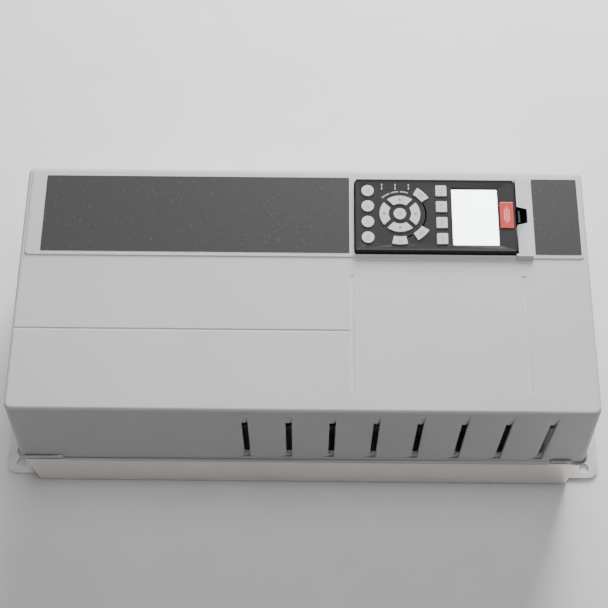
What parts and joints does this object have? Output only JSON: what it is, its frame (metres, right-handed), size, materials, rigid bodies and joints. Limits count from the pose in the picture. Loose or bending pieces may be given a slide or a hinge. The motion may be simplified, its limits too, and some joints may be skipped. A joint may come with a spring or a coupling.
{
  "type": "variable frequency drive",
  "caption": "Wall-mounting variable frequency drive with a lift-off louvred cover, a plug-in control panel with sprung keys, a finned cooler and axial fans.",
  "frame": {"origin": "middle of the back plate's mounting face", "axes": "+X towards the drive's top end (air outlet), +Y towards its left side, +Z out of its front face"},
  "size_m": [0.52, 0.23, 0.1728],
  "materials": {
    "galvanised_steel": "spangled zinc, dull",
    "base_metal": "warm grey satin coat on sheet steel",
    "extruded_aluminium": "extruded, fine lines along its length",
    "fan_black": "moulded, satin",
    "guard_steel": "bright plated wire",
    "module_black": "moulded epoxy",
    "screw_steel": "zinc plated",
    "board_green": "solder mask over glass laminate",
    "pillar_brass": "turned",
    "capacitor_sleeve": "shrink sleeve",
    "ferrite": "coated ring wound with wire",
    "sensor_plastic": "moulded",
    "copper": "bare copper, slightly dull",
    "core_steel": "varnished laminations",
    "winding_copper": "enamelled wire",
    "terminal_plastic": "moulded, glass filled",
    "clamp_steel": "pressed and zinc plated",
    "entry_steel": "pressed and zinc plated",
    "tray_plastic": "moulded",
    "strip_green": "moulded plug-in terminals",
    "cover_plastic": "light grey, fine moulded texture",
    "label_dark": "dark grey printed film",
    "cradle_plastic": "light grey, fine moulded texture",
    "panel_plastic": "dark grey, fine moulded texture",
    "key_rubber": "light grey silicone, matt",
    "dome_steel": "snap domes",
    "light_lens": "frosted light guide",
    "display_glass": "clear window",
    "display_module": "pale liquid-crystal display",
    "badge_red": "red moulded plate"
  },
  "bodies": {
    "chassis": {"back_plate": "galvanised_steel", "base_housing": "base_metal", "heat_sink": "extruded_aluminium", "fan_frames": "fan_black", "fan_guards": "guard_steel", "inverter_module": "module_black", "rectifier_module": "module_black", "inner_screws": "screw_steel", "power_board": "board_green", "board_pillars": "pillar_brass", "dc_capacitors": "capacitor_sleeve", "filter_coils": "ferrite", "current_sensors": "sensor_plastic", "choke_cores": "core_steel", "choke_windings": "winding_copper", "busbars": "copper", "mains_terminals": "terminal_plastic", "motor_terminals": "terminal_plastic", "shield_plate": "clamp_steel", "earth_bar": "pillar_brass", "cable_clamps": "clamp_steel", "entry_plate": "entry_steel", "control_tray": "tray_plastic", "control_card": "board_green", "control_terminals": "strip_green", "panel_socket": "tray_plastic"},
    "front_cover": {"cover_front": "cover_plastic", "cover_sides": "cover_plastic", "cover_ends": "cover_plastic", "long_label_band": "label_dark", "short_label_band": "label_dark", "panel_cradle": "cradle_plastic"},
    "control_panel": {"panel_front": "panel_plastic", "panel_back": "panel_plastic", "panel_board": "board_green", "key_domes": "dome_steel", "light_guides": "light_lens", "display_module": "display_module", "display_window": "display_glass", "panel_badge": "badge_red", "panel_plug": "fan_black"},
    "panel_latch": {"panel_latch": "fan_black"},
    "fan_rotor_left": {"fan_rotor_left": "fan_black"},
    "fan_rotor_right": {"fan_rotor_right": "fan_black"},
    "key_status": {"key_status": "key_rubber"},
    "key_quick_menu": {"key_quick_menu": "key_rubber"},
    "key_main_menu": {"key_main_menu": "key_rubber"},
    "key_alarm_log": {"key_alarm_log": "key_rubber"},
    "key_back": {"key_back": "key_rubber"},
    "key_cancel": {"key_cancel": "key_rubber"},
    "key_info": {"key_info": "key_rubber"},
    "key_up": {"key_up": "key_rubber"},
    "key_left": {"key_left": "key_rubber"},
    "key_down": {"key_down": "key_rubber"},
    "key_right": {"key_right": "key_rubber"},
    "key_ok": {"key_ok": "key_rubber"},
    "key_hand": {"key_hand": "key_rubber"},
    "key_off": {"key_off": "key_rubber"},
    "key_auto": {"key_auto": "key_rubber"},
    "key_reset": {"key_reset": "key_rubber"}
  },
  "joints": [
    {"name": "cover_lift", "type": "slide", "parent": "chassis", "child": "front_cover", "axis": [0, 0, 1], "range_m": [0, 0.13]},
    {"name": "panel_lift", "type": "slide", "parent": "front_cover", "child": "control_panel", "axis": [0, 0, 1], "range_m": [0, 0.04]},
    {"name": "latch_press", "type": "slide", "parent": "control_panel", "child": "panel_latch", "axis": [-1, 0, 0], "range_m": [0, 0.0015], "stiffness_N_per_m": 800},
    {"name": "fan_spin_left", "type": "hinge", "parent": "chassis", "child": "fan_rotor_left", "pos_m": [-0.2085, 0.042, 0.0425], "axis": [1, 0, 0], "continuous": true},
    {"name": "fan_spin_right", "type": "hinge", "parent": "chassis", "child": "fan_rotor_right", "pos_m": [-0.2085, -0.042, 0.0425], "axis": [1, 0, 0], "continuous": true},
    {"name": "key_status_press", "type": "slide", "parent": "control_panel", "child": "key_status", "axis": [0, 0, -1], "range_m": [0, 0.0008], "stiffness_N_per_m": 700},
    {"name": "key_quick_menu_press", "type": "slide", "parent": "control_panel", "child": "key_quick_menu", "axis": [0, 0, -1], "range_m": [0, 0.0008], "stiffness_N_per_m": 700},
    {"name": "key_main_menu_press", "type": "slide", "parent": "control_panel", "child": "key_main_menu", "axis": [0, 0, -1], "range_m": [0, 0.0008], "stiffness_N_per_m": 700},
    {"name": "key_alarm_log_press", "type": "slide", "parent": "control_panel", "child": "key_alarm_log", "axis": [0, 0, -1], "range_m": [0, 0.0008], "stiffness_N_per_m": 700},
    {"name": "key_back_press", "type": "slide", "parent": "control_panel", "child": "key_back", "axis": [0, 0, -1], "range_m": [0, 0.0008], "stiffness_N_per_m": 700},
    {"name": "key_cancel_press", "type": "slide", "parent": "control_panel", "child": "key_cancel", "axis": [0, 0, -1], "range_m": [0, 0.0008], "stiffness_N_per_m": 700},
    {"name": "key_info_press", "type": "slide", "parent": "control_panel", "child": "key_info", "axis": [0, 0, -1], "range_m": [0, 0.0008], "stiffness_N_per_m": 700},
    {"name": "key_up_press", "type": "slide", "parent": "control_panel", "child": "key_up", "axis": [0, 0, -1], "range_m": [0, 0.0008], "stiffness_N_per_m": 700},
    {"name": "key_left_press", "type": "slide", "parent": "control_panel", "child": "key_left", "axis": [0, 0, -1], "range_m": [0, 0.0008], "stiffness_N_per_m": 700},
    {"name": "key_down_press", "type": "slide", "parent": "control_panel", "child": "key_down", "axis": [0, 0, -1], "range_m": [0, 0.0008], "stiffness_N_per_m": 700},
    {"name": "key_right_press", "type": "slide", "parent": "control_panel", "child": "key_right", "axis": [0, 0, -1], "range_m": [0, 0.0008], "stiffness_N_per_m": 700},
    {"name": "key_ok_press", "type": "slide", "parent": "control_panel", "child": "key_ok", "axis": [0, 0, -1], "range_m": [0, 0.0008], "stiffness_N_per_m": 700},
    {"name": "key_hand_press", "type": "slide", "parent": "control_panel", "child": "key_hand", "axis": [0, 0, -1], "range_m": [0, 0.0008], "stiffness_N_per_m": 700},
    {"name": "key_off_press", "type": "slide", "parent": "control_panel", "child": "key_off", "axis": [0, 0, -1], "range_m": [0, 0.0008], "stiffness_N_per_m": 700},
    {"name": "key_auto_press", "type": "slide", "parent": "control_panel", "child": "key_auto", "axis": [0, 0, -1], "range_m": [0, 0.0008], "stiffness_N_per_m": 700},
    {"name": "key_reset_press", "type": "slide", "parent": "control_panel", "child": "key_reset", "axis": [0, 0, -1], "range_m": [0, 0.0008], "stiffness_N_per_m": 700}
  ]
}
